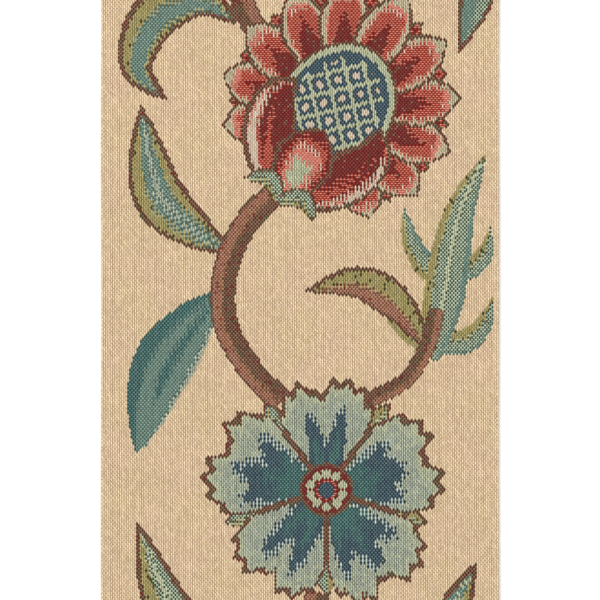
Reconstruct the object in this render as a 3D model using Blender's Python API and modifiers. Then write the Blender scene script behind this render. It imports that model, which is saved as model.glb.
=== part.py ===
"""Woven crewel panel: one length of tapestry cloth with plain turned hems, lying flat, face up.

Metres, +Z up. X runs across the cloth and Y along it. The origin is the middle of the underside,
so the cloth rests on z = 0. The hems are part of the cloth, so the whole panel is one solid.
"""

import math

import bmesh
import bpy

# Finished size of the panel
PANEL_WIDTH = 0.180
PANEL_LENGTH = 0.360

# Single cloth in the field, and cloth turned under itself in the hems
FIELD_THICKNESS = 0.0015
HEM_THICKNESS = 0.0022
SIDE_HEM = 0.012
END_HEM = 0.016
HEM_FALL = 0.009

# Rolled rim of the hem, and how far its line strays from straight
RIM_RADIUS = 0.0006
RIM_STEPS = 2
RIM_STRAY = 0.00012
RIM_WAVES_ALONG = 2.3
RIM_WAVES_ACROSS = 1.4
CORNER_DRAW_IN = 0.0007
AT_RIM = 0.999
SHARP_EDGE = math.radians(50)

# Slow swells that are left in cloth laid out by hand
SWELL_HEIGHT = 0.00012
SWELL_LENGTH_X = 0.052
SWELL_LENGTH_Y = 0.071

# Rows of points between the two hems
ROWS_ACROSS = 12
ROWS_ALONG = 22

CLOTH_COLOUR = (0.658, 0.497, 0.323, 1.0)
CLOTH_ROUGHNESS = 0.9


def clear_scene():
    """Removes every object that the file opened with."""
    for old in list(bpy.data.objects):
        bpy.data.objects.remove(old, do_unlink=True)


def rows(length, hem, between):
    """Places of the point rows along one side: close together over the hems, even between them."""
    half = length / 2
    over_hem = [0.0, 2 * RIM_RADIUS, hem / 2, hem, hem + HEM_FALL / 2, hem + HEM_FALL]
    inner = half - hem - HEM_FALL
    even = [-inner + 2 * inner * step / between for step in range(1, between)]
    left = [-half + inset for inset in over_hem]
    right = [half - inset for inset in reversed(over_hem)]
    return left + even + right


def smooth_step(value):
    """0 below 0, 1 above 1, and an S-curve between."""
    share = min(max(value, 0.0), 1.0)
    return share * share * (3 - 2 * share)


def top_height(x, y):
    """Height of the cloth's face: full over the hems, falling to the field inside them."""
    past_side = PANEL_WIDTH / 2 - abs(x) - SIDE_HEM
    past_end = PANEL_LENGTH / 2 - abs(y) - END_HEM
    in_field = smooth_step(past_side / HEM_FALL) * smooth_step(past_end / HEM_FALL)
    swell = math.sin(x * math.tau / SWELL_LENGTH_X + y * math.tau / SWELL_LENGTH_Y)
    across = math.cos(x * math.tau / SWELL_LENGTH_Y - y * math.tau / SWELL_LENGTH_X)
    hem_rise = (HEM_THICKNESS - FIELD_THICKNESS) * (1 - in_field)
    return FIELD_THICKNESS + hem_rise + SWELL_HEIGHT * in_field * swell * across


def strayed(x, y):
    """The point's place after the rim has strayed from straight and the corners are drawn in."""
    side_share = x / (PANEL_WIDTH / 2)
    end_share = y / (PANEL_LENGTH / 2)
    along = math.sin(end_share * RIM_WAVES_ALONG * math.pi + side_share)
    across = math.sin(side_share * RIM_WAVES_ACROSS * math.pi + end_share)
    at_corner = abs(side_share) > AT_RIM and abs(end_share) > AT_RIM
    corner = CORNER_DRAW_IN if at_corner else 0.0
    x += side_share * (RIM_STRAY * along - corner)
    y += end_share * (RIM_STRAY * across - corner)
    return x, y


def cloth_mesh():
    """The cloth as a closed mesh: a shaped face, pulled down to a flat underside."""
    across = rows(PANEL_WIDTH, SIDE_HEM, ROWS_ACROSS)
    along = rows(PANEL_LENGTH, END_HEM, ROWS_ALONG)
    shape = bmesh.new()
    bmesh.ops.create_grid(shape, x_segments=len(across) - 1, y_segments=len(along) - 1, size=1.0)
    for point in shape.verts:
        column = round((point.co.x + 1) / 2 * (len(across) - 1))
        row = round((point.co.y + 1) / 2 * (len(along) - 1))
        x, y = strayed(across[column], along[row])
        point.co = (x, y, top_height(across[column], along[row]))
    pulled = bmesh.ops.extrude_face_region(shape, geom=shape.faces[:])
    for item in pulled["geom"]:
        if isinstance(item, bmesh.types.BMVert):
            item.co.z = 0.0
    bmesh.ops.recalc_face_normals(shape, faces=shape.faces[:])
    mesh = bpy.data.meshes.new("panel_cloth")
    shape.to_mesh(mesh)
    shape.free()
    return mesh


def cloth_material():
    """Undyed tapestry cloth, matt."""
    material = bpy.data.materials.new("tapestry_cloth")
    material.use_nodes = True
    shader = material.node_tree.nodes["Principled BSDF"]
    shader.inputs["Base Color"].default_value = CLOTH_COLOUR
    shader.inputs["Roughness"].default_value = CLOTH_ROUGHNESS
    shader.inputs["Metallic"].default_value = 0.0
    return material


def make_cloth(collection):
    """The panel's only piece: the cloth with its four hems and their rolled rims."""
    cloth = bpy.data.objects.new("panel_cloth", cloth_mesh())
    collection.objects.link(cloth)
    cloth.data.materials.append(cloth_material())
    rim = cloth.modifiers.new("rolled_rim", "BEVEL")
    rim.width = RIM_RADIUS
    rim.segments = RIM_STEPS
    rim.limit_method = "ANGLE"
    rim.angle_limit = SHARP_EDGE
    cloth.data.shade_smooth()
    cloth.data.set_sharp_from_angle(angle=SHARP_EDGE)
    return cloth


def main():
    clear_scene()
    collection = bpy.data.collections.new("crewel_panel")
    bpy.context.scene.collection.children.link(collection)
    make_cloth(collection)


main()
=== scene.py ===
import math

import bpy
import numpy as np
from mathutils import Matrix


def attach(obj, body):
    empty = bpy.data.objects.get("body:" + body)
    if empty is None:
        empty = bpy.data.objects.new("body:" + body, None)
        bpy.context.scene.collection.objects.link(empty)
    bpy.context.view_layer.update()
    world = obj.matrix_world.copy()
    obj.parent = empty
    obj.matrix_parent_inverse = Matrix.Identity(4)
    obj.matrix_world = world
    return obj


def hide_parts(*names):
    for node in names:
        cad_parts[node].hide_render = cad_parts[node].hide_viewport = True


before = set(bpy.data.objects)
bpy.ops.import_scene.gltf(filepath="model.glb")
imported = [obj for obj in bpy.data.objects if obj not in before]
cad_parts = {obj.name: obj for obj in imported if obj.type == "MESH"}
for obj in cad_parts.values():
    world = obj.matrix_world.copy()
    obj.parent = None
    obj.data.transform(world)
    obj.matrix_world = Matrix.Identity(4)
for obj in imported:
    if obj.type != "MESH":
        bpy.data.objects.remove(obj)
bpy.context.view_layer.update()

# Woven crewel panel: narrow tapestry cloth with turned hems, lying flat, face up.
# Metres, +Z up. The design is drawn in millimetres from the middle of the panel.
MM = 0.001

# Finished size, thicknesses and hems, as in the solid that the cloth stands for
PANEL_WIDTH = 0.180
PANEL_LENGTH = 0.360
FIELD_THICKNESS = 0.0015
HEM_THICKNESS = 0.0022
SIDE_HEM = 0.012
END_HEM = 0.016
HEM_FALL = 0.009
RIM_STRAY = 0.00012
RIM_WAVES_ALONG = 2.3
RIM_WAVES_ACROSS = 1.4
SWELL_HEIGHT = 0.00012
SWELL_LENGTH_X = 0.052
SWELL_LENGTH_Y = 0.071

# The fold at the hem's edge, and what is turned under it
FOLD_RADIUS = HEM_THICKNESS / 2
FOLD_HALF_X = PANEL_WIDTH / 2 - FOLD_RADIUS
FOLD_HALF_Y = PANEL_LENGTH / 2 - FOLD_RADIUS
FOLD_ARC = math.pi / 2 * FOLD_RADIUS

# The weave: ribs run up the cloth, picks run across it
FLAT_RIBS = 216
FLAT_PICKS = 390
FOLD_ROWS = 2
RIBS = FLAT_RIBS + 2 * FOLD_ROWS
PICKS = FLAT_PICKS + 2 * FOLD_ROWS
RIB = 2 * FOLD_HALF_X / FLAT_RIBS
PICK = 2 * FOLD_HALF_Y / FLAT_PICKS
PAIR_DRAW = 0.04 * RIB

WEAVE_SEED = 11


def smooth_step(value):
    """0 below 0, 1 above 1, and an S-curve between."""
    share = np.clip(value, 0.0, 1.0)
    return share * share * (3 - 2 * share)


def top_height(x, y):
    """Height of the cloth's face: full over the hems, falling to the field inside them."""
    past_side = PANEL_WIDTH / 2 - np.abs(x) - SIDE_HEM
    past_end = PANEL_LENGTH / 2 - np.abs(y) - END_HEM
    in_field = smooth_step(past_side / HEM_FALL) * smooth_step(past_end / HEM_FALL)
    swell = np.sin(x * math.tau / SWELL_LENGTH_X + y * math.tau / SWELL_LENGTH_Y)
    across = np.cos(x * math.tau / SWELL_LENGTH_Y - y * math.tau / SWELL_LENGTH_X)
    hem_rise = (HEM_THICKNESS - FIELD_THICKNESS) * (1 - in_field)
    return FIELD_THICKNESS + hem_rise + SWELL_HEIGHT * in_field * swell * across


def strayed(x, y):
    """The point's place after the rim has strayed from straight."""
    side_share, end_share = x / (PANEL_WIDTH / 2), y / (PANEL_LENGTH / 2)
    along = np.sin(end_share * RIM_WAVES_ALONG * math.pi + side_share)
    across = np.sin(side_share * RIM_WAVES_ACROSS * math.pi + end_share)
    return x + side_share * RIM_STRAY * along, y + end_share * RIM_STRAY * across


def on_cloth(across, along, turn=None):
    """Place and outward way of a spot on the face, given by its distances measured in the cloth.
    Past the fold the cloth bends down round it, by up to a quarter turn, or by the turn given."""
    over_x = np.maximum(np.abs(across) - FOLD_HALF_X, 0.0)
    over_y = np.maximum(np.abs(along) - FOLD_HALF_Y, 0.0)
    over = np.maximum(over_x, over_y)
    reach = np.maximum(np.hypot(over_x, over_y), 1e-12)
    way_x, way_y = np.sign(across) * over_x / reach, np.sign(along) * over_y / reach
    bend = np.minimum(over / FOLD_RADIUS, math.pi / 2)
    if turn is not None:
        bend = np.full(over.shape, turn)
    x = np.clip(across, -FOLD_HALF_X, FOLD_HALF_X) + FOLD_RADIUS * np.sin(bend) * way_x
    y = np.clip(along, -FOLD_HALF_Y, FOLD_HALF_Y) + FOLD_RADIUS * np.sin(bend) * way_y
    z = top_height(x, y) - FOLD_RADIUS * (1 - np.cos(bend))
    x, y = strayed(x, y)
    way = np.stack([np.sin(bend) * way_x, np.sin(bend) * way_y, np.cos(bend)], -1)
    return np.stack([x, y, z], -1), way


def thread_lines(half, flat_count):
    """Borders of the threads along one side, over both folds."""
    flat = np.linspace(-half, half, flat_count + 1)
    over_fold = half + FOLD_ARC * np.arange(1, FOLD_ROWS + 1) / FOLD_ROWS
    return np.concatenate([-over_fold[::-1], flat, over_fold])


RIB_LINES = thread_lines(FOLD_HALF_X, FLAT_RIBS)
PICK_LINES = thread_lines(FOLD_HALF_Y, FLAT_PICKS)
RIB_MIDDLES = (RIB_LINES[1:] + RIB_LINES[:-1]) / 2
PICK_MIDDLES = (PICK_LINES[1:] + PICK_LINES[:-1]) / 2

# The chart: one cell for each crossing of a rib and a pick, with its place in millimetres
X, Y = np.meshgrid(RIB_MIDDLES / MM, PICK_MIDDLES / MM)
CHART = np.full((PICKS, RIBS), "ground", dtype="<U10")
chance = np.random.default_rng(WEAVE_SEED)
SPECK = chance.random((PICKS, RIBS))

# Hatched joins: every other rib carries its colour further down into the next one
COMB_LONG = (1.8, 4.8)
COMB_SHORT = (-0.6, 0.6)
COMB = np.where(
    np.arange(RIBS) % 2, chance.uniform(*COMB_LONG, RIBS), chance.uniform(*COMB_SHORT, RIBS)
)


def smooth_curve(points, per_span=14):
    """Points on a smooth curve that passes through the given ones."""
    given = np.array(points, float)
    padded = np.vstack([2 * given[0] - given[1], given, 2 * given[-1] - given[-2]])
    found = []
    for a, b, c, d in zip(padded, padded[1:], padded[2:], padded[3:]):
        for u in np.arange(per_span) / per_span:
            bend = (2 * a - 5 * b + 4 * c - d) * u**2 + (3 * b - a - 3 * c + d) * u**3
            found.append((2 * b + (c - a) * u + bend) / 2)
    found.append(given[-1])
    return np.array(found)


def smooth_table(rows, share):
    """Reads a short table of (share, half width) rows as a smooth curve."""
    fine = smooth_curve(rows, 10)
    return np.interp(share, fine[:, 0], fine[:, 1])


def along_and_across(points, x, y):
    """Share of the way along a smooth curve, and distance from it, positive on its left."""
    path = smooth_curve(points)
    step = np.diff(path, axis=0)
    length = np.hypot(step[:, 0], step[:, 1])
    run = np.concatenate([[0.0], np.cumsum(length)])
    nearest = np.full(x.shape, np.inf)
    share, side = np.zeros(x.shape), np.ones(x.shape)
    for k, (along_x, along_y) in enumerate(step):
        off_x, off_y = x - path[k, 0], y - path[k, 1]
        part = np.clip((off_x * along_x + off_y * along_y) / length[k] ** 2, 0, 1)
        away = np.hypot(off_x - part * along_x, off_y - part * along_y)
        closer = away < nearest
        nearest = np.where(closer, away, nearest)
        share = np.where(closer, (run[k] + part * length[k]) / run[-1], share)
        on_left = along_x * off_y - along_y * off_x >= 0
        side = np.where(closer, np.where(on_left, 1.0, -1.0), side)
    return share, nearest * side


def block_round(points, margin):
    """The block of cells round some points, as slices of the chart."""
    low, high = np.min(points, axis=0) - margin, np.max(points, axis=0) + margin
    columns = slice(*np.searchsorted(X[0], [low[0], high[0]]))
    rows = slice(*np.searchsorted(Y[:, 0], [low[1], high[1]]))
    return rows, columns


def weave_in(mask, zone, block=(slice(None), slice(None))):
    """Gives the cells of the mask to a zone of the design."""
    CHART[block][mask] = zone


def heading(angle):
    """Unit step in a direction, in degrees from +X."""
    return np.array([math.cos(math.radians(angle)), math.sin(math.radians(angle))])


def everywhere(share, side):
    """Rule of a zone that takes all of its leaf or petal."""
    return share > -1


# How far single cells stray over the border of two zones
SCATTER = 0.10
# Hatching on the inside of outlines, as a share of the comb
OUTLINE_COMB = 0.35
# Share of an outline's width that the hatching leaves
OUTLINE_LEAST = 0.5
# Room left round a leaf or petal when its block of cells is cut out
BLOCK_ROOM = 6


def blade(points, widths, outline, outline_zone, zones, comb=1.0):
    """A leaf or petal along a curve, from a table of half widths. Each of its zones has a rule on the
    share of the way along and on the side, -1 right to 1 left, and is woven in turn."""
    block = block_round(points, 1.5 * max(half for _, half in widths) + BLOCK_ROOM)
    x, y = X[block], Y[block]
    share, across = along_and_across(points, x, y)
    half = smooth_table(widths, share)
    inside = (np.abs(across) < half) & (share > 0) & (share < 1)
    weave_in(inside, outline_zone, block)
    body = inside & (half - np.abs(across) > OUTLINE_LEAST * outline)
    teeth = comb * COMB[block[1]][None, :]
    if outline:
        _, across = along_and_across(points, x, y + OUTLINE_COMB * teeth)
        body = body & (half - np.abs(across) > outline)
    share, across = along_and_across(points, x, y + teeth)
    side = np.clip(across / np.maximum(smooth_table(widths, share), 0.01), -1.4, 1.4)
    stray = SCATTER * (SPECK[block] - 0.5)
    for rule, zone in zones:
        weave_in(body & rule(share + 0.5 * stray, side + stray), zone, block)


def even_width(width):
    """Half widths of a strip that is as wide all along."""
    return [(0, width / 2), (0.5, width / 2), (1, width / 2)]


# A stem's outline, as a share of its width
STEM_RIM = 0.09


def stem(points, width):
    """A woody stem: brown on its left, then a strip of bark, and russet on its right."""
    blade(points, even_width(width), STEM_RIM * width, "brown", [
        (everywhere, "russet"),
        (lambda share, side: side > -0.30, "bark"),
        (lambda share, side: side > -0.02, "brown"),
    ], 0.5)


# The red bloom, upper right of the middle. Its petals are hatched less than its cup is
RED_MIDDLE = np.array([16.0, 86.0])
RED_AXIS = 58.0
PETAL_ROOT = 14
PETAL_COMB = 0.45
# Its heart: half length and half width, and the pitch, half bar and knots of the lattice on it
CORE_HALF_LENGTH = 31
CORE_HALF_WIDTH = 25
LATTICE_PITCH = 8.5
LATTICE_HALF_BAR = 0.85
KNOT_RADIUS = 1.7


def tipped(half):
    """Half widths of a petal with a blunt point."""
    rows = ((0, 0.5), (0.3, 0.8), (0.56, 1.0), (0.78, 0.76), (0.91, 0.38), (1, 0))
    return [(share, half * size) for share, size in rows]


FRONT_PETAL = [
    (everywhere, "ivory"),
    (lambda share, side: (np.abs(side) < 0.68) & (share < 0.86), "pink"),
    (lambda share, side: (np.abs(side) < 0.62) & (share < 0.80), "red"),
    (lambda share, side: np.abs(side) < 0.95 - 1.35 * share, "maroon"),
]
BACK_PETAL = [
    (everywhere, "red"),
    (lambda share, side: np.abs(side) < 1.2 - 1.2 * share, "maroon"),
]


def red_petal(turn, reach, half, outline, zones):
    """One petal, turned by some degrees from the bloom's axis."""
    way = heading(RED_AXIS + turn)
    middle = (PETAL_ROOT + reach) / 2
    points = [RED_MIDDLE + along * way for along in (PETAL_ROOT, middle, reach)]
    blade(points, tipped(half), outline, "brown", zones, PETAL_COMB)


def red_bloom():
    """A back row and a front row of petals, shorter towards the cup, then the heart and the cup."""
    for turn in range(13, 143, 26):
        for sign in (-1, 1):
            red_petal(sign * turn, 57 - turn / 14, half=8.5, outline=1.5, zones=BACK_PETAL)
    for turn in range(130, -1, -26):
        for sign in (-1, 1):
            red_petal(sign * turn, 62 - turn / 13, half=12, outline=1.7, zones=FRONT_PETAL)
    lattice_core()
    red_cup()


def lattice_core():
    """The bloom's oval heart: a lattice laid over navy, with a knot in each opening."""
    way, left = heading(RED_AXIS), heading(RED_AXIS + 90)
    ahead = (X - RED_MIDDLE[0]) * way[0] + (Y - RED_MIDDLE[1]) * way[1]
    aside = (X - RED_MIDDLE[0]) * left[0] + (Y - RED_MIDDLE[1]) * left[1]
    ring = np.hypot(ahead / CORE_HALF_LENGTH, aside / CORE_HALF_WIDTH)
    weave_in(ring < 1.05, "brown")
    weave_in(ring < 1, "mint")
    weave_in(ring < 0.90, "navy")
    pitch = LATTICE_PITCH
    rising, falling = (ahead + aside) / math.sqrt(2), (ahead - aside) / math.sqrt(2)
    off_bars = [np.abs(np.mod(run + pitch / 2, pitch) - pitch / 2) for run in (rising, falling)]
    weave_in((ring < 0.82) & (np.minimum(*off_bars) < LATTICE_HALF_BAR), "mint")
    off_knots = [np.mod(run, pitch) - pitch / 2 for run in (rising, falling)]
    weave_in((ring < 0.76) & (np.hypot(*off_knots) < KNOT_RADIUS), "cream")


def red_cup():
    """Two broad petals and a tongue that clasp the heart, over a pair of sepals."""
    way, left = heading(RED_AXIS), heading(RED_AXIS + 90)
    base = RED_MIDDLE - 46 * way
    broad = [(0, 5), (0.3, 11), (0.6, 12), (0.85, 7), (1, 0)]
    for sign in (1, -1):
        points = [base + 2 * way]
        for forward, outward in ((14, 15), (34, 25), (50, 22)):
            points.append(base + forward * way + sign * outward * left)
        blade(points, broad, 2.4, "brown", [
            (everywhere, "red"),
            (lambda share, side, sign=sign: sign * side < 0.1 + 0.5 * share, "maroon"),
            (lambda share, side, sign=sign: np.abs(sign * side - 0.05) < 0.26 - 0.3 * share, "red"),
            (
                lambda share, side, sign=sign: (sign * side > 0.48) & (np.abs(share - 0.5) < 0.3),
                "cream",
            ),
            (lambda share, side, sign=sign: sign * side > 0.78, "pink"),
        ])
    tongue = [(0, 5), (0.3, 12), (0.6, 13.5), (0.85, 8), (1, 0)]
    blade([base, base + 18 * way, base + 36 * way], tongue, 2.0, "brown", [
        (everywhere, "maroon"),
        (lambda share, side: (np.abs(side) < 0.70) & (share < 0.84), "red"),
        (lambda share, side: (np.abs(side) < 0.50) & (share < 0.72), "pink"),
        (lambda share, side: (np.abs(side) < 0.34) & (share > 0.20) & (share < 0.55), "mint"),
    ])
    sepal = [(0, 2.5), (0.4, 4.6), (0.8, 2.6), (1, 0)]
    for sign in (1, -1):
        points = [base - 2 * way]
        for forward, outward in ((4, 9), (-2, 19)):
            points.append(base + forward * way + sign * outward * left)
        blade(points, sepal, 0.9, "brown", [
            (everywhere, "green"),
            (lambda share, side, sign=sign: sign * side > 0.1, "olive"),
        ])


# The blue bloom, low down and right of the middle: a rose with five notched petals
BLUE_MIDDLE = np.array([12.0, -86.0])
BLUE_REACH = 54.0
BLUE_TURN = 18.0
BLUE_PETALS = 5
HALF_PETAL = 180 / BLUE_PETALS
# No two petals are alike: reach of each, reach of the navy in it, place of its notch, and how far
# the navy's points stand out, three of them where this is positive and two where it is negative
PETAL_REACH = np.array([1.00, 0.94, 1.04, 0.97, 1.02])
PETAL_HEART = np.array([0.70, 0.64, 0.73, 0.66, 0.70])
PETAL_NOTCH = np.array([0.00, 0.12, -0.14, 0.06, -0.08])
PETAL_POINTS = np.array([0.10, -0.13, 0.11, -0.11, 0.13])
# Their outlines: least width, width before the hatching, and half width of the seams between petals
BLUE_RIM_LEAST = 1.7
BLUE_RIM = 3.1
BLUE_HALF_SEAM = 1.4
# The button: rings from the outside inwards, the ring of beads on them, and the rings in its middle
BUTTON_RINGS = ((12.2, "brown"), (10.8, "maroon"))
BEADS = 10
BEAD_RING = 7.4
BEAD_RADIUS = 2.1
BUTTON_MIDDLE = ((4.6, "red"), (3.7, "navy"))


def blue_place(x, y):
    """Distance from the bloom's middle, the place across the petal, -1 to 1, and its number."""
    off_x, off_y = x - BLUE_MIDDLE[0], y - BLUE_MIDDLE[1]
    angle = np.degrees(np.arctan2(off_y, off_x)) - BLUE_TURN + HALF_PETAL
    petal = np.floor(angle / (2 * HALF_PETAL)).astype(int) % BLUE_PETALS
    return np.hypot(off_x, off_y), np.mod(angle, 2 * HALF_PETAL) / HALF_PETAL - 1, petal


def blue_edge(across, petal):
    """How far a petal reaches: round shoulders, a notch at the tip and a frilled rim."""
    shoulders = 0.58 + 0.42 * np.clip(1 - np.abs(across) ** 3, 0, 1) ** 0.55
    notch = 1 - 0.13 * np.exp(-(((across - PETAL_NOTCH[petal]) / 0.17) ** 2))
    frill = 1 + 0.03 * np.cos(across * 25 + 2 * petal)
    return BLUE_REACH * PETAL_REACH[petal] * shoulders * notch * frill


def blue_sepals():
    """Sepal tips that show between the petals."""
    widths = [(0, 8), (0.5, 8), (0.8, 4.5), (1, 0)]
    for k in range(BLUE_PETALS):
        way = heading(BLUE_TURN + HALF_PETAL * (2 * k + 1))
        blade([BLUE_MIDDLE + reach * way for reach in (14, 30, 49)], widths, 1.1, "brown", [
            (everywhere, "green"),
            (lambda share, side: side > 0.05, "olive"),
        ])


def blue_bloom():
    """The five petals over their sepals: seafoam with a mint rim, and navy that turns teal inwards."""
    blue_sepals()
    away, across, petal = blue_place(X, Y)
    edge = blue_edge(across, petal)
    inside = away < edge
    weave_in(inside, "brown")
    apart = away * np.sin(np.radians((1 - np.abs(across)) * HALF_PETAL))
    toothed, _, _ = blue_place(X, Y + OUTLINE_COMB * COMB[None, :])
    body = inside & (edge - away > BLUE_RIM_LEAST) & (edge - toothed > BLUE_RIM)
    body = body & (apart > BLUE_HALF_SEAM)
    hatched, across, petal = blue_place(X, Y + COMB[None, :])
    share = hatched / blue_edge(across, petal) + 0.05 * (SPECK - 0.5)
    weave_in(body, "seafoam")
    weave_in(body & (share > 0.90), "mint")
    points = PETAL_POINTS[petal] * np.cos(across * math.pi * 3)
    heart = PETAL_HEART[petal] + points - 0.60 * np.abs(across) ** 4
    weave_in(body & (share < heart), "navy")
    weave_in(body & (share < heart - 0.24), "teal")
    blue_button()


def blue_button():
    """The bloom's middle: a ring of beads round a navy button."""
    off_x, off_y = X - BLUE_MIDDLE[0], Y - BLUE_MIDDLE[1]
    away = np.hypot(off_x, off_y)
    for reach, zone in BUTTON_RINGS:
        weave_in(away < reach, zone)
    spacing = 360 / BEADS
    turned = np.mod(np.degrees(np.arctan2(off_y, off_x)), spacing) - spacing / 2
    off_bead = np.hypot(np.radians(turned) * BEAD_RING, away - BEAD_RING)
    weave_in(off_bead < BEAD_RADIUS, "mint")
    for reach, zone in BUTTON_MIDDLE:
        weave_in(away < reach, zone)


def pointed(half, stalk=1.5):
    """Half widths of a pointed leaf."""
    rows = ((0.2, 0.66), (0.45, 1.0), (0.7, 0.78), (0.9, 0.34), (1, 0))
    return [(0, stalk)] + [(share, half * size) for share, size in rows]


def left_of(limit):
    """Rule of a zone on the left of a line along the leaf."""
    return lambda share, side: side > limit


def right_of(limit):
    """Rule of a zone on the right of a line along the leaf."""
    return lambda share, side: side < limit


def vein(points):
    """A narrow pale vein that ends in a point."""
    blade(points, [(0, 0.8), (0.8, 0.8), (1, 0)], 0, "mint", [], comb=0)


def lobed_leaf():
    """The green leaf at the right, with hooked lobes on both sides and a pale vein."""
    spine = [(57, -26), (64, -4), (68, 20), (73, 42), (84, 66)]
    for half, points in (
        (6.5, [(61, -18), (50, -13), (41, -1), (37, 14)]),
        (6.0, [(68, 10), (58, 15), (50, 27), (47, 42)]),
        (6.0, [(62, -18), (74, -19), (83, -11), (87, 1)]),
        (5.0, [(70, 14), (78, 15), (84, 22), (86, 33)]),
    ):
        hook = [(0, half), (0.4, 0.9 * half), (0.75, 0.5 * half), (1, 0)]
        blade(points, hook, 0, "olive", [
            (everywhere, "green"), (left_of(0.30), "olive"), (right_of(-0.62), "leafteal"),
        ], 0.5)
    broad = [(0, 6), (0.25, 9), (0.5, 9), (0.75, 6), (0.92, 2.5), (1, 0)]
    blade(spine, broad, 0, "green", [(left_of(0.62), "olive"), (right_of(-0.70), "leafteal")], 0.5)
    vein(spine)


def simple_leaves():
    """Plain leaves: the teal one is bare, and the others have brown outlines."""
    blade([(-35, 4), (-50, -12), (-64, -34), (-74, -70)], pointed(14), 0, "leafteal", [
        (everywhere, "leafteal"),
        (right_of(-0.52), "teal"),
        (lambda share, side: (np.abs(side - 0.12) < 0.15) & (share < 0.66), "teal"),
        (left_of(0.80), "seafoam"),
    ], 0.8)
    upper_left = [(-31, 22), (-48, 32), (-65, 50), (-72, 88)]
    blade(upper_left, pointed(12), 2.2, "brown", [
        (everywhere, "olive"),
        (lambda share, side: np.abs(side + 0.1) < 0.42, "leafteal"),
        (lambda share, side: np.abs(side + 0.1) < 0.12, "seafoam"),
    ], 0.8)
    blade([(58, -22), (44, -2), (26, 8), (2, 4)], pointed(8.5), 1.7, "brown", [
        (everywhere, "russet"), (right_of(0), "olive"),
    ], 0.6)
    blade([(-28, 126), (-46, 136), (-66, 128), (-74, 106), (-60, 90)], pointed(11), 2.4, "brown", [
        (everywhere, "olive"),
        (lambda share, side: np.abs(side - 0.1) < 0.40, "leafteal"),
    ], 0.8)
    blade([(62, 190), (75, 166), (80, 140), (72, 112)], pointed(10), 1.8, "brown", [
        (everywhere, "leafteal"), (left_of(0.1), "green"),
    ], 0.7)
    blade([(-2, -174), (-30, -164), (-58, -142), (-74, -100)], pointed(12), 2.2, "brown", [
        (everywhere, "green"),
        (left_of(0.1), "olive"),
        (lambda share, side: np.abs(side + 0.25) < 0.12, "mint"),
    ], 0.7)
    blade([(-2, -170), (34, -166), (62, -152), (80, -118)], pointed(12), 2.2, "brown", [
        (everywhere, "leafteal"),
        (right_of(-0.1), "olive"),
        (lambda share, side: np.abs(side - 0.3) < 0.12, "mint"),
    ], 0.7)


def stems():
    """The curved main stem, the side stem to the lobed leaf, and the stems past both blooms."""
    stem([(-6, 52), (-22, 38), (-33, 16), (-34, -10), (-22, -32), (-8, -46)], 11.5)
    stem([(30, -46), (48, -36), (58, -20), (62, -4)], 7.5)
    stem([(-10, 110), (-24, 130), (-30, 156), (-28, 190)], 11)
    stem([(8, -132), (2, -156), (-4, -190)], 11)


def draw_design():
    """Draws what lies behind first, so that the blooms come last."""
    lobed_leaf()
    simple_leaves()
    stems()
    red_bloom()
    blue_bloom()


# Ground yarns come from three dye lots, mixed in drifting patches, with strays between them
LOT_PATCH = 11.0
LOT_STRAY = 4.2
LOT_LIMIT = 0.9


def mix_ground_lots():
    """Parts the ground's cells between the dye lots."""
    drift = (
        np.sin(X / LOT_PATCH * 2.1 + 1.3 * np.sin(Y / LOT_PATCH * 1.2))
        + np.sin(Y / LOT_PATCH * 1.7 + 1.1 * np.sin(X / LOT_PATCH * 1.4 + 2))
        + LOT_STRAY * (SPECK - 0.5)
    )
    ground = CHART == "ground"
    CHART[ground & (drift > LOT_LIMIT)] = "rosy"
    CHART[ground & (drift < -LOT_LIMIT)] = "sallow"


# Outlines, stems and petals are woven with several yarns by turns: some of their cells take another
MIXTURES = {
    "brown": (("moss", 0.12), ("maroon", 0.09)),
    "bark": (("russet", 0.16), ("brown", 0.12)),
    "russet": (("bark", 0.16), ("maroon", 0.04)),
    "maroon": (("brown", 0.07),),
    "olive": (("moss", 0.04),),
    "seafoam": (("mint", 0.15),),
}
DARK_ZONES = ("navy", "teal", "maroon", "red")


def mix_yarns():
    """Gives a share of the cells of the mixed zones to their other yarns."""
    drawn = CHART.copy()
    for zone, others in MIXTURES.items():
        low = 0.0
        for other, share in others:
            CHART[(drawn == zone) & (SPECK >= low) & (SPECK < low + share)] = other
            low += share


def whiten_teeth():
    """Weaves the light teeth of the hatched joins in the palest yarns."""
    dark = np.isin(CHART, DARK_ZONES)
    flanked = np.roll(dark, 1, 1) & np.roll(dark, -1, 1)
    CHART[flanked & np.isin(CHART, ("mint", "seafoam"))] = "frost"
    CHART[flanked & (CHART == "pink")] = "cream"


draw_design()
whiten_teeth()
mix_yarns()
mix_ground_lots()


def dyed(red, green, blue):
    """Linear colour of a yarn, from the usual 0 to 255 values."""
    return tuple(
        part / 12.92 if part <= 0.04045 else ((part + 0.055) / 1.055) ** 2.4
        for part in (red / 255, green / 255, blue / 255)
    ) + (1.0,)


UPRIGHT, LEVEL, DOT = "upright", "level", "dot"
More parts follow.
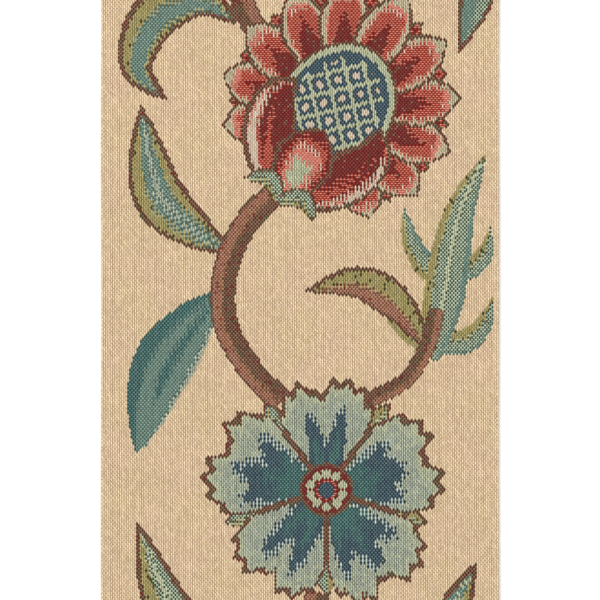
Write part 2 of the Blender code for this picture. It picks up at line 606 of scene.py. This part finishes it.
# Each zone of the weave: the yarn that floats on its face, the yarn beneath, and how the floats lie.
# Besides being two yarns, each pair is a lighter and a darker copy of one colour: the beneath colour is
# darker as painted shade in the gaps where the floats are upright or level, and lighter as a painted
# highlight under dots.
ZONES = {
    "ground": (dyed(251, 223, 188), dyed(166, 141, 106), UPRIGHT),
    "rosy": (dyed(251, 221, 189), dyed(166, 139, 107), UPRIGHT),
    "sallow": (dyed(250, 223, 185), dyed(165, 142, 104), UPRIGHT),
    "mint": (dyed(209, 212, 179), dyed(122, 125, 96), UPRIGHT),
    "seafoam": (dyed(193, 200, 180), dyed(88, 95, 83), UPRIGHT),
    "frost": (dyed(212, 220, 206), dyed(120, 132, 124), UPRIGHT),
    "ivory": (dyed(218, 206, 174), dyed(124, 116, 88), UPRIGHT),
    "cream": (dyed(230, 214, 192), dyed(166, 144, 122), UPRIGHT),
    "pink": (dyed(242, 178, 157), dyed(188, 97, 84), LEVEL),
    "red": (dyed(230, 148, 124), dyed(143, 43, 33), LEVEL),
    "maroon": (dyed(96, 23, 23), dyed(135, 60, 54), DOT),
    "navy": (dyed(30, 51, 61), dyed(94, 114, 122), DOT),
    "teal": (dyed(29, 74, 68), dyed(100, 132, 128), DOT),
    "leafteal": (dyed(75, 103, 89), dyed(136, 158, 146), DOT),
    "green": (dyed(56, 68, 46), dyed(185, 199, 173), DOT),
    "olive": (dyed(190, 177, 120), dyed(104, 95, 52), UPRIGHT),
    "brown": (dyed(76, 46, 30), dyed(144, 108, 87), DOT),
    "bark": (dyed(125, 78, 48), dyed(180, 136, 105), DOT),
    "russet": (dyed(122, 66, 50), dyed(182, 137, 115), DOT),
    "moss": (dyed(54, 54, 34), dyed(116, 112, 82), DOT),
}
# How far the cells of the yarn beneath stray from its colour
BENEATH_SPREAD = 0.10
UNDERSIDE_COLOUR = dyed(214, 189, 155)

# How one float lies: half width across its yarn, half length along it, height and heading
FLOAT_FORMS = {
    UPRIGHT: (0.50 * RIB, 1.06 * PICK, 0.00032, 0.0),
    LEVEL: (0.36 * PICK, 0.72 * RIB, 0.00028, math.pi / 2),
    DOT: (0.56 * RIB, 0.78 * PICK, 0.00028, 0.0),
}
FLOAT_SPREAD = 0.10
FLOAT_TURN = math.radians(4)
FLOAT_SINK = 0.00004
# Floats on the end folds are shorter, so that they follow the bend
FOLD_REACH = 0.6
# Rows of points on a float of half sizes 1: place along it, half width and height of the back
FLOAT_ROWS = ((-0.68, 0.80, 0.86), (0.0, 1.0, 1.0), (0.68, 0.80, 0.86))


def add_piece(name, mesh):
    """An object of its own for a mesh, at the origin."""
    piece = bpy.data.objects.new(name, mesh)
    bpy.context.scene.collection.objects.link(piece)
    return piece


class Nodes:
    """Adds and joins the nodes of one tree."""

    def __init__(self, tree):
        self.tree = tree

    def add(self, kind, values=(), **settings):
        node = self.tree.nodes.new(kind)
        for name, value in settings.items():
            setattr(node, name, value)
        for name, value in dict(values).items():
            self.feed(node, name, value)
        return node

    def feed(self, node, name, value):
        """Sets an input, or joins another node's output to it."""
        open_ones = [socket for socket in node.inputs if socket.enabled and socket.name == name]
        self.join(open_ones[0], value)

    def join(self, socket, value):
        if isinstance(value, bpy.types.NodeSocket):
            self.tree.links.new(value, socket)
        else:
            socket.default_value = value

    def work_out(self, operation, *terms, kind="ShaderNodeMath"):
        """Result of a math node, from numbers, vectors or other nodes' outputs."""
        node = self.tree.nodes.new(kind)
        node.operation = operation
        for socket, term in zip(node.inputs, terms):
            self.join(socket, term)
        return node.outputs[0]

    def ranged(self, value, low, high, least, most):
        """A value between low and high, brought to between least and most."""
        return self.add("ShaderNodeMapRange", {
            "Value": value, "From Min": low, "From Max": high, "To Min": least, "To Max": most,
        }).outputs["Result"]

    @staticmethod
    def out(node):
        """The output that the node's settings leave open."""
        return next(socket for socket in node.outputs if socket.enabled)


# Slant stripes of the twisted strands, a strand about 0.3 mm wide
TWIST_SCALE = 1500.0


def new_wool(name):
    """A material without nodes, its empty tree, and the place on the cloth for its patterns."""
    material = bpy.data.materials.new(name)
    material.use_nodes = True
    material.node_tree.nodes.clear()
    nodes = Nodes(material.node_tree)
    return material, nodes, nodes.add("ShaderNodeTexCoord").outputs["Object"]


def twisted_strands(nodes, place, lightest):
    """Stripes of the strands that the yarn is twisted from, as a factor on its colour."""
    twist = nodes.add("ShaderNodeTexWave", {
        "Vector": place, "Scale": TWIST_SCALE, "Distortion": 2.5, "Detail": 2.0,
    }, bands_direction="DIAGONAL")
    return nodes.ranged(twist.outputs["Fac"], 0.0, 1.0, 0.86, lightest)


def matt_wool(nodes, colour, factor, height, strength, distance, finish):
    """Ends the tree with matt wool: a colour times a factor, and a height for the bump."""
    final = nodes.add("ShaderNodeVectorMath", {"Vector": colour, "Scale": factor}, operation="SCALE")
    bump = nodes.add("ShaderNodeBump", {
        "Height": height, "Strength": strength, "Distance": distance,
    })
    shader = nodes.add("ShaderNodeBsdfPrincipled", {
        "Base Color": final.outputs[0], "Sheen Roughness": 0.5, "Normal": bump.outputs["Normal"],
        **finish,
    })
    output = nodes.add("ShaderNodeOutputMaterial")
    nodes.join(output.inputs["Surface"], shader.outputs[0])


def yarn_material(name, colour):
    """Spun wool: its colour varies from float to float, along the fibres and over the cloth."""
    material, nodes, place = new_wool(name)
    tone = nodes.add("ShaderNodeAttribute", attribute_name="yarn_tone")
    fibre = nodes.add("ShaderNodeTexNoise", {
        "Vector": place, "Scale": 2600.0, "Detail": 3.0, "Roughness": 0.6,
    })
    drift = nodes.add("ShaderNodeTexNoise", {
        "Vector": place, "Scale": 90.0, "Detail": 2.0, "Roughness": 0.55,
    })
    toned = nodes.add("ShaderNodeMix", {
        "Factor": tone.outputs["Fac"],
        "A": tuple(0.86 * part for part in colour[:3]) + (1.0,),
        "B": tuple(min(1.0, 1.10 * part) for part in colour[:3]) + (1.0,),
    }, data_type="RGBA")
    fibres = nodes.ranged(fibre.outputs["Fac"], 0.3, 0.7, 0.86, 1.1)
    spun = nodes.work_out("MULTIPLY", fibres, twisted_strands(nodes, place, 1.06))
    drifts = nodes.ranged(drift.outputs["Fac"], 0.3, 0.7, 0.96, 1.03)
    drifted = nodes.work_out("MULTIPLY", spun, drifts)
    matt_wool(nodes, nodes.out(toned), drifted, spun, 0.5, 0.0002, {
        "Roughness": 0.88, "Sheen Weight": 0.04, "Specular IOR Level": 0.12,
    })
    return material


def backing_material():
    """The yarn beneath the floats: each crossing has its own, rounded along the ribs and picks by a
    bump, with painted shade at the threads' borders and a painted highlight at their middles.
    """
    material, nodes, place = new_wool("yarn_beneath")
    yarn = nodes.add("ShaderNodeAttribute", attribute_name="yarn_beneath")
    threads = nodes.add("ShaderNodeAttribute", attribute_name="thread_place")
    counted = nodes.add("ShaderNodeSeparateXYZ", {"Vector": threads.outputs["Vector"]})
    backs = []
    for name, fall in (("X", 0.25), ("Y", 0.7)):
        turned = nodes.work_out("MULTIPLY", counted.outputs[name], math.pi)
        size = nodes.work_out("ABSOLUTE", nodes.work_out("SINE", turned))
        backs.append(nodes.work_out("POWER", size, fall))
    # Painted shade and highlight: the colour is darkened towards each rib's and pick's borders and
    # lightened at their middles; the same factor also drives the bump
    rounded = nodes.ranged(nodes.work_out("MULTIPLY", *backs), 0.0, 1.0, 0.62, 1.16)
    shaded = nodes.work_out("MULTIPLY", rounded, twisted_strands(nodes, place, 1.08))
    matt_wool(nodes, yarn.outputs["Color"], shaded, shaded, 0.7, 0.0003, {
        "Roughness": 0.92, "Sheen Weight": 0.03, "Specular IOR Level": 0.1,
    })
    return material


# Underside: coarse rows of faces, two rings that close the fold, and the step inside the hem
UNDER_ACROSS = 16
UNDER_ALONG = 32
UNDER_FOLD_TURNS = (math.radians(122), math.radians(160))
STEP_RISE = 0.0007
STEP_INSET = 0.0003
UNDER_SAG = 0.00005

# Flat map: the shares that the cloth fills, the share of its face, and the gap before its underside
MAP_FILL_X = 0.97
MAP_FILL_Y = 0.98
FACE_MAP_SHARE = 0.84
MAP_GAP = 0.01


def rectangle(half_x, half_y, count_x, count_y):
    """Points round a rectangle, from its lower left corner and to the right first."""
    xs, ys = np.linspace(-half_x, half_x, count_x + 1), np.linspace(-half_y, half_y, count_y + 1)
    sides = [
        np.stack([xs[:-1], np.full(count_x, -half_y)], -1),
        np.stack([np.full(count_y, half_x), ys[:-1]], -1),
        np.stack([xs[:0:-1], np.full(count_x, half_y)], -1),
        np.stack([np.full(count_y, -half_x), ys[:0:-1]], -1),
    ]
    return np.concatenate(sides)


def round_edge(grid):
    """Values round the edge of a grid, from its lower left corner and to the right first."""
    return np.concatenate([grid[0, :-1], grid[:-1, -1], grid[-1, :0:-1], grid[:0:-1, 0]])


class Shell:
    """Points and faces of a mesh while it is put together."""

    def __init__(self):
        self.points = []
        self.threads = []
        self.count = 0
        self.faces = []

    def add(self, points, threads=None):
        """Adds points and returns their numbers. Each has its place counted in ribs and picks, and
        where none is given it lies on the underside, which shows its picks alone."""
        points = np.asarray(points, float).reshape(-1, 3)
        if threads is None:
            on_rib = np.full(len(points), 0.5)
            threads = np.column_stack([on_rib, points[:, 1] / PICK, np.zeros(len(points))])
        self.points.append(points)
        self.threads.append(threads)
        self.count += len(points)
        return np.arange(self.count - len(points), self.count)

    def quads(self, a, b, c, d):
        """Faces from four lists of points, a corner from each."""
        self.faces += np.stack([a, b, c, d], -1).reshape(-1, 4).tolist()

    def band(self, outer, inner):
        """Faces between two closed rings of as many points, the inner one further in below."""
        self.quads(outer, inner, np.roll(inner, -1), np.roll(outer, -1))

    def uneven_band(self, outer, inner):
        """Triangles between two closed rings with unlike numbers of points, side by side."""
        i = j = 0
        while i < len(outer) or j < len(inner):
            here, there = outer[i % len(outer)], inner[j % len(inner)]
            if j * len(outer) >= i * len(inner) and i < len(outer):
                self.faces.append([here, there, outer[(i + 1) % len(outer)]])
                i += 1
            else:
                self.faces.append([here, there, inner[(j + 1) % len(inner)]])
                j += 1


def cloth_shell():
    """The cloth as one closed shell: a face with one cell for each crossing, folds and underside."""
    shell = Shell()
    across, along = np.meshgrid(RIB_LINES, PICK_LINES)
    ribs, picks = np.meshgrid(np.arange(RIBS + 1), np.arange(PICKS + 1))
    threads = np.stack([ribs, picks, np.zeros(ribs.shape)], -1).reshape(-1, 3)
    top = shell.add(on_cloth(across, along)[0], threads).reshape(across.shape)
    shell.quads(top[:-1, :-1], top[:-1, 1:], top[1:, 1:], top[1:, :-1])
    rim, rim_across, rim_along = (round_edge(grid) for grid in (top, across, along))
    outer = rim
    for turn, threads_there in zip(UNDER_FOLD_TURNS, (threads[rim], None)):
        points = on_cloth(rim_across, rim_along, turn)[0]
        points[:, 2] = np.maximum(points[:, 2], 0.0) if turn < UNDER_FOLD_TURNS[-1] else 0.0
        inner = shell.add(points, threads_there)
        shell.band(outer, inner)
        outer = inner
    half_x, half_y = PANEL_WIDTH / 2 - SIDE_HEM, PANEL_LENGTH / 2 - END_HEM
    rings = []
    for inset, height in ((0, 0), (STEP_INSET, STEP_RISE), (HEM_FALL, UNDER_SAG)):
        ring = rectangle(half_x - inset, half_y - inset, UNDER_ACROSS, UNDER_ALONG)
        rings.append(shell.add(np.column_stack([ring, np.full(len(ring), height)])))
    shell.uneven_band(outer, rings[0])
    shell.band(rings[0], rings[1])
    shell.band(rings[1], rings[2])
    fill_underside(shell, rings[2], half_x - HEM_FALL, half_y - HEM_FALL)
    return shell


def fill_underside(shell, ring, half_x, half_y):
    """Closes the flat middle of the underside, inside the ring of points."""
    grid = np.zeros((UNDER_ALONG + 1, UNDER_ACROSS + 1), int)
    grid[0, :-1] = ring[:UNDER_ACROSS]
    grid[:-1, -1] = ring[UNDER_ACROSS:UNDER_ACROSS + UNDER_ALONG]
    grid[-1, :0:-1] = ring[UNDER_ACROSS + UNDER_ALONG:2 * UNDER_ACROSS + UNDER_ALONG]
    grid[:0:-1, 0] = ring[2 * UNDER_ACROSS + UNDER_ALONG:]
    xs = np.linspace(-half_x, half_x, UNDER_ACROSS + 1)[1:-1]
    ys = np.linspace(-half_y, half_y, UNDER_ALONG + 1)[1:-1]
    inner_x, inner_y = np.meshgrid(xs, ys)
    inner = np.stack([inner_x, inner_y, np.full(inner_x.shape, UNDER_SAG)], -1)
    grid[1:-1, 1:-1] = shell.add(inner).reshape(inner_x.shape)
    shell.quads(grid[:-1, :-1], grid[1:, :-1], grid[1:, 1:], grid[:-1, 1:])


def face_map(points, on_face):
    """Flat map of the cloth: its face on the left, its underside in a strip on the right."""
    u = points[:, 0] / PANEL_WIDTH * MAP_FILL_X + 0.5
    v = points[:, 1] / PANEL_LENGTH * MAP_FILL_Y + 0.5
    strip = 1 - 2 * MAP_GAP - FACE_MAP_SHARE
    under = FACE_MAP_SHARE + MAP_GAP + u * strip
    return np.stack([np.where(on_face, u * FACE_MAP_SHARE, under), v], -1)


def make_cloth():
    """The cloth's mesh, with the colour of the yarn beneath at each crossing, darker as painted shade
    where the floats are upright or level and lighter as a painted highlight under dots, and its flat
    map.
    """
    shell = cloth_shell()
    points = np.concatenate(shell.points)
    mesh = bpy.data.meshes.new("cloth")
    mesh.from_pydata(points.tolist(), [], shell.faces)
    corners = np.zeros(len(mesh.loops), int)
    mesh.loops.foreach_get("vertex_index", corners)
    woven = np.zeros(len(corners), bool)
    woven[:4 * RIBS * PICKS] = True
    colours = np.tile(np.array(UNDERSIDE_COLOUR), (len(corners), 1))
    beneath = np.zeros((PICKS, RIBS, 4))
    for zone, (_, under, _) in ZONES.items():
        beneath[CHART == zone] = under
    beneath[..., :3] *= chance.uniform(1 - BENEATH_SPREAD, 1 + BENEATH_SPREAD, (PICKS, RIBS, 1))
    colours[:4 * RIBS * PICKS] = np.repeat(beneath.reshape(-1, 4), 4, axis=0)
    yarns = mesh.color_attributes.new("yarn_beneath", "FLOAT_COLOR", "CORNER")
    yarns.data.foreach_set("color", colours.ravel())
    threads = mesh.attributes.new("thread_place", "FLOAT_VECTOR", "POINT")
    threads.data.foreach_set("vector", np.concatenate(shell.threads).ravel())
    flat_map = mesh.uv_layers.new(name="OFBake")
    flat_map.data.foreach_set("uv", face_map(points[corners], woven).ravel())
    mesh.shade_smooth()
    mesh.materials.append(backing_material())
    return add_piece("cloth", mesh)


def make_float_form():
    """One float of half sizes 1: a rounded back that falls to a point at both ends, and a flat base."""
    points = [(0, -1, 0)]
    for along, half, height in FLOAT_ROWS:
        points += [(-half, along, 0), (0, along, height), (half, along, 0)]
    points.append((0, 1, 0))
    low_end = [(0, 2, 1), (0, 3, 2)]
    high_end = [(10, 7, 8), (10, 8, 9)]
    back = []
    for k in (1, 4):
        back += [(k, k + 1, k + 4, k + 3), (k + 1, k + 2, k + 5, k + 4)]
    base = [(0, 1, 4, 7, 10, 9, 6, 3)]
    mesh = bpy.data.meshes.new("float_form")
    mesh.from_pydata(points, [], low_end + back + high_end + base)
    return add_piece("float_form", mesh)


def float_tree():
    """Lays a float of yarn on each crossing, a little unlike its neighbours in size and heading."""
    tree = bpy.data.node_groups.new("yarn_floats", "GeometryNodeTree")
    sockets = tree.interface
    sockets.new_socket("Crossings", in_out="INPUT", socket_type="NodeSocketGeometry")
    sockets.new_socket("Form", in_out="INPUT", socket_type="NodeSocketObject")
    for name in ("Half Width", "Half Length", "Height", "Heading", "Spread", "Turn"):
        sockets.new_socket(name, in_out="INPUT", socket_type="NodeSocketFloat")
    sockets.new_socket("Seed", in_out="INPUT", socket_type="NodeSocketInt")
    sockets.new_socket("Yarn", in_out="INPUT", socket_type="NodeSocketMaterial")
    sockets.new_socket("Floats", in_out="OUTPUT", socket_type="NodeSocketGeometry")
    nodes = Nodes(tree)
    given = nodes.add("NodeGroupInput")
    form = nodes.add("GeometryNodeObjectInfo", {"Object": given.outputs["Form"]})
    size = nodes.add("ShaderNodeCombineXYZ", {
        "X": given.outputs["Half Width"], "Y": given.outputs["Half Length"],
        "Z": given.outputs["Height"],
    })
    spread, seed = given.outputs["Spread"], given.outputs["Seed"]
    vary = nodes.add("FunctionNodeRandomValue", {
        "Min": nodes.work_out("SUBTRACT", 1.0, spread), "Max": nodes.work_out("ADD", 1.0, spread),
        "Seed": seed,
    }, data_type="FLOAT_VECTOR")
    reach = nodes.add("GeometryNodeInputNamedAttribute", {"Name": "reach"}, data_type="FLOAT_VECTOR")
    vector = "ShaderNodeVectorMath"
    varied = nodes.work_out("MULTIPLY", size.outputs[0], nodes.out(vary), kind=vector)
    sized = nodes.work_out("MULTIPLY", varied, nodes.out(reach), kind=vector)
    way = nodes.add("GeometryNodeInputNamedAttribute", {"Name": "way_out"}, data_type="FLOAT_VECTOR")
    middle, turn = given.outputs["Heading"], given.outputs["Turn"]
    swing = nodes.add("FunctionNodeRandomValue", {
        "Min": nodes.work_out("SUBTRACT", middle, turn), "Max": nodes.work_out("ADD", middle, turn),
        "Seed": seed,
    }, data_type="FLOAT")
    swung = nodes.add("ShaderNodeCombineXYZ", {"Z": nodes.out(swing)})
    facing = nodes.add("FunctionNodeAlignRotationToVector", {
        "Rotation": swung.outputs[0], "Vector": nodes.out(way),
    }, axis="Z")
    laid = nodes.add("GeometryNodeInstanceOnPoints", {
        "Points": given.outputs["Crossings"], "Instance": form.outputs["Geometry"],
        "Rotation": nodes.out(facing), "Scale": sized,
    })
    shade = nodes.add("FunctionNodeRandomValue", {
        "Min": 0.0, "Max": 1.0, "Seed": seed,
    }, data_type="FLOAT")
    toned = nodes.add("GeometryNodeStoreNamedAttribute", {
        "Geometry": laid.outputs[0], "Name": "yarn_tone", "Value": nodes.out(shade),
    }, data_type="FLOAT", domain="INSTANCE")
    real = nodes.add("GeometryNodeRealizeInstances", {"Geometry": toned.outputs[0]})
    where = nodes.add("GeometryNodeInputPosition")
    fill = (MAP_FILL_X / PANEL_WIDTH, MAP_FILL_Y / PANEL_LENGTH, 0)
    spot = nodes.work_out("MULTIPLY_ADD", where.outputs[0], fill, (0.5, 0.5, 0), kind=vector)
    mapped = nodes.add("GeometryNodeStoreNamedAttribute", {
        "Geometry": real.outputs[0], "Name": "OFBake", "Value": spot,
    }, data_type="FLOAT2", domain="CORNER")
    smooth = nodes.add("GeometryNodeSetShadeSmooth", {
        "Geometry": mapped.outputs[0], "Shade Smooth": True,
    })
    finished = nodes.add("GeometryNodeSetMaterial", {
        "Geometry": smooth.outputs[0], "Material": given.outputs["Yarn"],
    })
    result = nodes.add("NodeGroupOutput")
    tree.links.new(finished.outputs[0], result.inputs[0])
    return tree


def lay_floats(tree, form, zone, seed):
    """The floats of one zone's face yarn, as one joined piece."""
    colour, _, lie = ZONES[zone]
    every_other = (np.arange(PICKS)[:, None] + np.arange(RIBS)) % 2 == 0
    row, column = np.nonzero((CHART == zone) & every_other)
    drawn = np.where(column % 4 < 2, 1, -1) * np.where(column % 2, -1, 1) * PAIR_DRAW
    spots, way = on_cloth(RIB_MIDDLES[column] + drawn, PICK_MIDDLES[row])
    spots -= FLOAT_SINK * way
    mesh = bpy.data.meshes.new("crossings")
    mesh.from_pydata(spots.tolist(), [], [])
    ways = mesh.attributes.new("way_out", "FLOAT_VECTOR", "POINT")
    ways.data.foreach_set("vector", way.ravel())
    reach = np.ones((len(row), 3))
    reach[np.abs(PICK_MIDDLES[row]) > FOLD_HALF_Y, 1] = FOLD_REACH
    reaches = mesh.attributes.new("reach", "FLOAT_VECTOR", "POINT")
    reaches.data.foreach_set("vector", reach.ravel())
    piece = add_piece(zone + "_floats", mesh)
    half_width, half_length, height, turned = FLOAT_FORMS[lie]
    inputs = {
        "Form": form, "Half Width": half_width, "Half Length": half_length, "Height": height,
        "Heading": turned, "Spread": FLOAT_SPREAD, "Turn": FLOAT_TURN, "Seed": seed,
        "Yarn": yarn_material(zone + "_yarn", colour),
    }
    work = piece.modifiers.new("floats", "NODES")
    work.node_group = tree
    for socket in tree.interface.items_tree:
        if socket.in_out == "INPUT" and socket.name in inputs:
            work[socket.identifier] = inputs[socket.name]
    graph = bpy.context.evaluated_depsgraph_get()
    whole = bpy.data.meshes.new_from_object(piece.evaluated_get(graph))
    whole.name = piece.name
    piece.modifiers.clear()
    piece.data = whole
    bpy.data.meshes.remove(mesh)
    return piece


# Stage: floor, camera and lights. In the photograph the cloth is 397.7 of 600 pixels wide
PHOTO_PIXELS = 600
CLOTH_PIXELS = 397.7
METRES_PER_PIXEL = PANEL_WIDTH / CLOTH_PIXELS
VIEW_WIDTH = PHOTO_PIXELS * METRES_PER_PIXEL
LENS = 90.0
SENSOR = 36.0
FLOOR_SIDE = 6.0
FLOOR_DROP = 0.00005
FLOOR_COLOUR = (0.96, 0.96, 0.96, 1)
WORLD_STRENGTH = 0.95
KEY_PLACE = (-0.9, 1.1, 1.6)
KEY_WIDTH = 1.2
KEY_WATTS = 20.0


def make_floor():
    """A plain pale floor just below the cloth."""
    half = FLOOR_SIDE / 2
    mesh = bpy.data.meshes.new("floor")
    corners = [(-half, -half), (half, -half), (half, half), (-half, half)]
    mesh.from_pydata([(x, y, -FLOOR_DROP) for x, y in corners], [], [(0, 1, 2, 3)])
    material = bpy.data.materials.new("pale_floor")
    material.use_nodes = True
    shader = material.node_tree.nodes["Principled BSDF"]
    shader.inputs["Base Color"].default_value = FLOOR_COLOUR
    shader.inputs["Roughness"].default_value = 0.9
    shader.inputs["Specular IOR Level"].default_value = 0.0
    mesh.materials.append(material)
    floor = add_piece("floor", mesh)


def make_camera():
    """Straight above the panel, with the cloth as wide in the picture as in the photograph."""
    camera = bpy.data.objects.new("camera", bpy.data.cameras.new("camera"))
    bpy.context.scene.collection.objects.link(camera)
    camera.data.lens = LENS
    camera.data.sensor_width = SENSOR
    camera.location = (0, 0, FIELD_THICKNESS + VIEW_WIDTH * LENS / SENSOR)
    bpy.context.scene.camera = camera


def make_lights():
    """Even white light from all round, and one large soft lamp above on the left."""
    world = bpy.data.worlds.new("studio")
    world.use_nodes = True
    world.node_tree.nodes["Background"].inputs["Color"].default_value = (1, 1, 1, 1)
    world.node_tree.nodes["Background"].inputs["Strength"].default_value = WORLD_STRENGTH
    bpy.context.scene.world = world
    lamp = bpy.data.lights.new("soft_key", "AREA")
    lamp.shape = "DISK"
    lamp.size = KEY_WIDTH
    lamp.energy = KEY_WATTS
    key = bpy.data.objects.new("soft_key", lamp)
    bpy.context.scene.collection.objects.link(key)
    key.location = KEY_PLACE
    key.rotation_euler = (-key.location).to_track_quat("-Z", "Y").to_euler()


cloth = make_cloth()
tree, form = float_tree(), make_float_form()
floats = [lay_floats(tree, form, zone, 31 + k) for k, zone in enumerate(ZONES)]
bpy.data.objects.remove(form)
for piece in [cloth, *floats]:
    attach(piece, "root")
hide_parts("panel_cloth")
make_floor()
make_camera()
make_lights()
scene = bpy.context.scene
scene.view_settings.view_transform = "Standard"
scene.cycles.use_denoising = False
